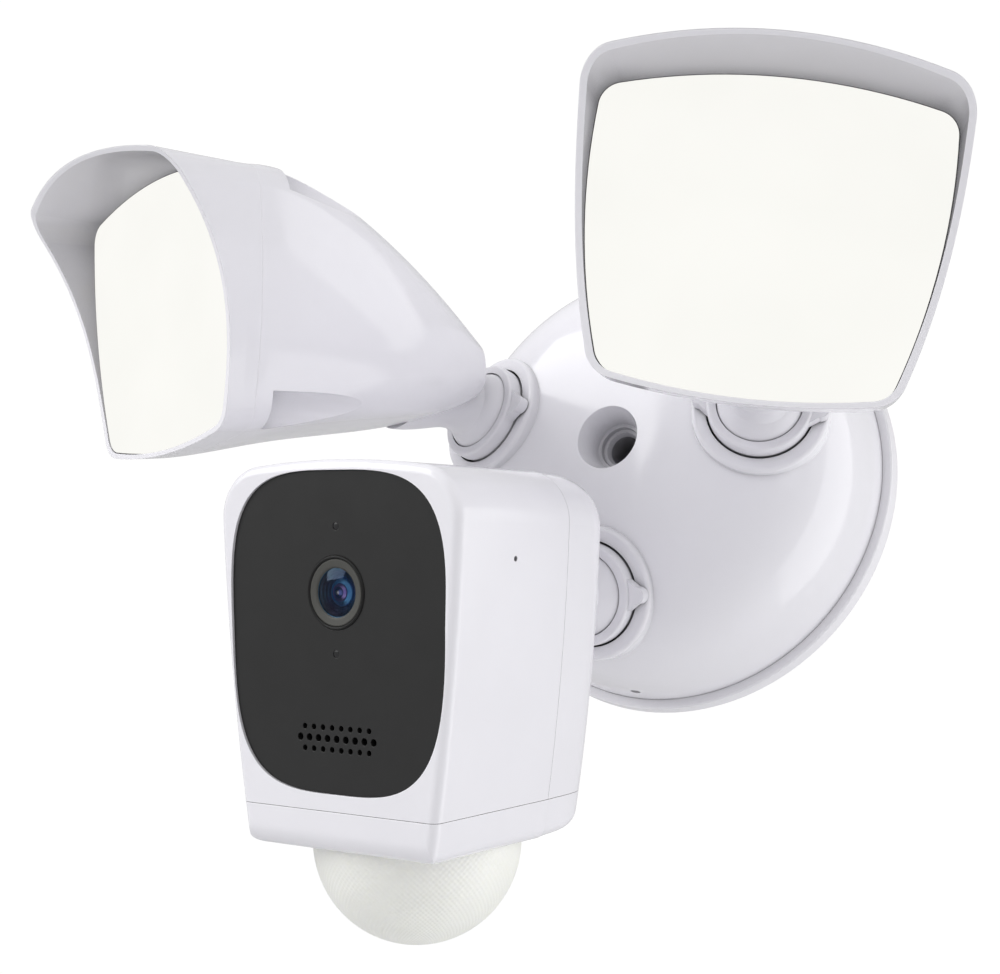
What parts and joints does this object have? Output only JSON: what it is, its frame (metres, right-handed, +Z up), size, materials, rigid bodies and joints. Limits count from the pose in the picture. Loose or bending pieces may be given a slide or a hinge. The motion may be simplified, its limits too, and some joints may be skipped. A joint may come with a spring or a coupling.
{
  "type": "floodlight security camera",
  "caption": "Wall-mounted floodlight camera: domed base, hooded lamps and a camera head with motion sensor, each on a lockable ball joint.",
  "frame": {"origin": "centre of the base's rear face, where it meets the wall", "axes": "+Z up, -Y out from the wall towards the viewer, +X to the right when facing the object"},
  "size_m": [0.2808, 0.2015, 0.2269],
  "materials": {
    "white_plastic": "glossy moulded white",
    "flange_plastic": "satin moulded white",
    "lit_diffuser": "opal acrylic, lit",
    "seal_rubber": "grey silicone",
    "heat_sink_aluminium": "extruded",
    "white_board": "white solder mask",
    "led_package": "phosphor",
    "screw_steel": "zinc plated",
    "cup_plastic": "acetal",
    "joint_rubber": "black o-ring",
    "gasket_foam": "closed-cell foam",
    "bracket_steel": "zinc plated sheet",
    "grommet_rubber": "black rubber",
    "green_board": "green solder mask",
    "transformer_core": "taped winding",
    "capacitor_sleeve": "printed-free black sleeve",
    "relay_case": "blue case",
    "terminal_plastic": "green terminal",
    "black_panel": "satin black acrylic",
    "lens_black": "black, fine turned grooves",
    "lens_coating": "coated glass",
    "smoked_window": "smoked window",
    "speaker_cone": "black cone and frame",
    "microphone_metal": "can",
    "antenna_board": "thin antenna board",
    "pir_milky": "milky lens with fine facets",
    "button_rubber": "grey button"
  },
  "bodies": {
    "base": {"base_dome": "white_plastic", "back_plate": "flange_plastic", "wall_gasket": "gasket_foam", "junction_box_bracket": "bracket_steel", "dome_screws": "screw_steel", "supply_grommet": "grommet_rubber", "power_board": "green_board", "board_screws": "screw_steel", "transformer": "transformer_core", "capacitors": "capacitor_sleeve", "lamp_relay": "relay_case", "terminal_block": "terminal_plastic", "joint_seals": "joint_rubber"},
    "right_lamp_cup": {"right_lamp_friction_cup": "cup_plastic"},
    "right_lamp_ring": {"right_lamp_lock_ring": "white_plastic"},
    "left_lamp_cup": {"left_lamp_friction_cup": "cup_plastic"},
    "left_lamp_ring": {"left_lamp_lock_ring": "white_plastic"},
    "camera_cup": {"camera_friction_cup": "cup_plastic"},
    "camera_ring": {"camera_lock_ring": "white_plastic"},
    "left_lamp": {"left_lamp_neck": "white_plastic", "left_lamp_housing": "white_plastic", "left_lamp_hood": "white_plastic", "left_lamp_diffuser": "lit_diffuser", "left_lamp_seal": "seal_rubber", "left_lamp_heat_sink": "heat_sink_aluminium", "left_lamp_led_board": "white_board", "left_lamp_leds": "led_package", "left_lamp_housing_screws": "screw_steel"},
    "right_lamp": {"right_lamp_neck": "white_plastic", "right_lamp_housing": "white_plastic", "right_lamp_hood": "white_plastic", "right_lamp_diffuser": "lit_diffuser", "right_lamp_seal": "seal_rubber", "right_lamp_heat_sink": "heat_sink_aluminium", "right_lamp_led_board": "white_board", "right_lamp_leds": "led_package", "right_lamp_housing_screws": "screw_steel"},
    "camera_head": {"camera_neck": "white_plastic", "neck_screws": "screw_steel", "front_shell": "white_plastic", "rear_shell": "white_plastic", "bottom_cover": "white_plastic", "shell_seal": "seal_rubber", "shell_screws": "screw_steel", "front_panel": "black_panel", "lens_ring": "lens_black", "lens_glass": "lens_coating", "lens_barrel": "lens_black", "sensor_board": "green_board", "status_light": "smoked_window", "light_sensor": "smoked_window", "speaker": "speaker_cone", "main_board": "green_board", "wifi_antenna": "antenna_board", "microphone": "microphone_metal", "pir_lens": "pir_milky", "pir_board": "green_board", "pir_sensor": "microphone_metal"},
    "pairing_button": {"pairing_button": "button_rubber"}
  },
  "joints": [
    {"name": "left_lamp_swing", "type": "hinge", "parent": "base", "child": "left_lamp_cup", "pos_m": [-0.04563, -0.05166, 0.00953], "axis": [0.0258, 0.0686, 0.9973], "range_deg": [-14, 14]},
    {"name": "left_lamp_nod", "type": "hinge", "parent": "left_lamp_cup", "child": "left_lamp", "pos_m": [-0.04563, -0.05166, 0.00953], "axis": [0.9361, -0.3517, 0], "range_deg": [-14, 10]},
    {"name": "left_lamp_ring_turn", "type": "hinge", "parent": "base", "child": "left_lamp_ring", "pos_m": [-0.04563, -0.05166, 0.00953], "axis": [-0.3508, -0.9336, 0.0733], "range_deg": [-40, 0]},
    {"name": "right_lamp_swing", "type": "hinge", "parent": "base", "child": "right_lamp_cup", "pos_m": [0.04563, -0.05166, 0.00953], "axis": [-0.0258, 0.0686, 0.9973], "range_deg": [-14, 14]},
    {"name": "right_lamp_nod", "type": "hinge", "parent": "right_lamp_cup", "child": "right_lamp", "pos_m": [0.04563, -0.05166, 0.00953], "axis": [0.9361, 0.3517, 0], "range_deg": [-14, 10]},
    {"name": "right_lamp_ring_turn", "type": "hinge", "parent": "base", "child": "right_lamp_ring", "pos_m": [0.04563, -0.05166, 0.00953], "axis": [0.3508, -0.9336, 0.0733], "range_deg": [-40, 0]},
    {"name": "camera_swing", "type": "hinge", "parent": "base", "child": "camera_cup", "pos_m": [0, -0.05166, -0.04661], "axis": [0, -0.3584, 0.9336], "range_deg": [-14, 14]},
    {"name": "camera_nod", "type": "hinge", "parent": "camera_cup", "child": "camera_head", "pos_m": [0, -0.05166, -0.04661], "axis": [1, 0, 0], "range_deg": [-10, 14]},
    {"name": "camera_ring_turn", "type": "hinge", "parent": "base", "child": "camera_ring", "pos_m": [0, -0.05166, -0.04661], "axis": [0, -0.9336, -0.3584], "range_deg": [-40, 0]},
    {"name": "pairing_press", "type": "slide", "parent": "camera_head", "child": "pairing_button", "axis": [-0.0831, -0.9398, -0.3313], "range_m": [0, 0.0008], "stiffness_N_per_m": 400}
  ]
}
